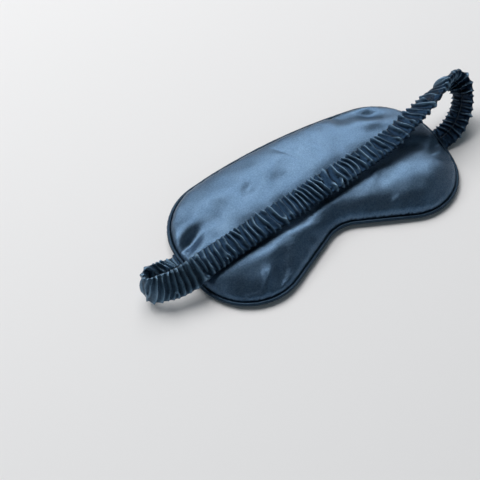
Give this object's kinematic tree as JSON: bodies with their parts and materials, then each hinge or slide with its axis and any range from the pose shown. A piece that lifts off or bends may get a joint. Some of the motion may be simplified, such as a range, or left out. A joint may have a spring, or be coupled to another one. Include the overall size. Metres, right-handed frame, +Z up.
{
  "type": "sleep mask",
  "caption": "Padded satin sleep mask with a nose notch, piped edge and gathered elastic head strap laid across its eye side.",
  "frame": {"origin": "on the resting face of the outer panel, under the middle of the pad's outline", "axes": "+X along the mask's length, +Y towards the forehead edge, +Z up, out of the side that touches the eyes"},
  "size_m": [0.2869, 0.1147, 0.0407],
  "materials": {
    "satin": "glossy navy satin",
    "piping_satin": "glossy navy satin on the bias",
    "strap_satin": "gathered navy satin",
    "wadding": "soft polyester wadding",
    "lining": "matte black blackout cloth",
    "cord": "twisted cotton piping cord",
    "elastic": "knitted flat elastic",
    "thread": "polyester sewing thread"
  },
  "bodies": {
    "pad": {"eye_side_panel": "satin", "outer_panel": "satin", "upper_wadding": "wadding", "lower_wadding": "wadding", "blackout_lining": "lining", "piping_cover": "piping_satin", "piping_cord": "cord", "edge_seam_thread": "thread", "left_strap_end": "strap_satin", "left_elastic_end": "elastic", "left_bar_tack": "thread", "right_strap_end": "strap_satin", "right_elastic_end": "elastic", "right_bar_tack": "thread"},
    "strap": {"strap_sleeve": "strap_satin", "strap_elastic": "elastic", "sleeve_seam_thread": "thread"}
  },
  "joints": [
    {"name": "strap_pull", "type": "slide", "parent": "pad", "child": "strap", "axis": [0, 0, 1], "range_m": [0, 0.04], "stiffness_N_per_m": 30}
  ]
}
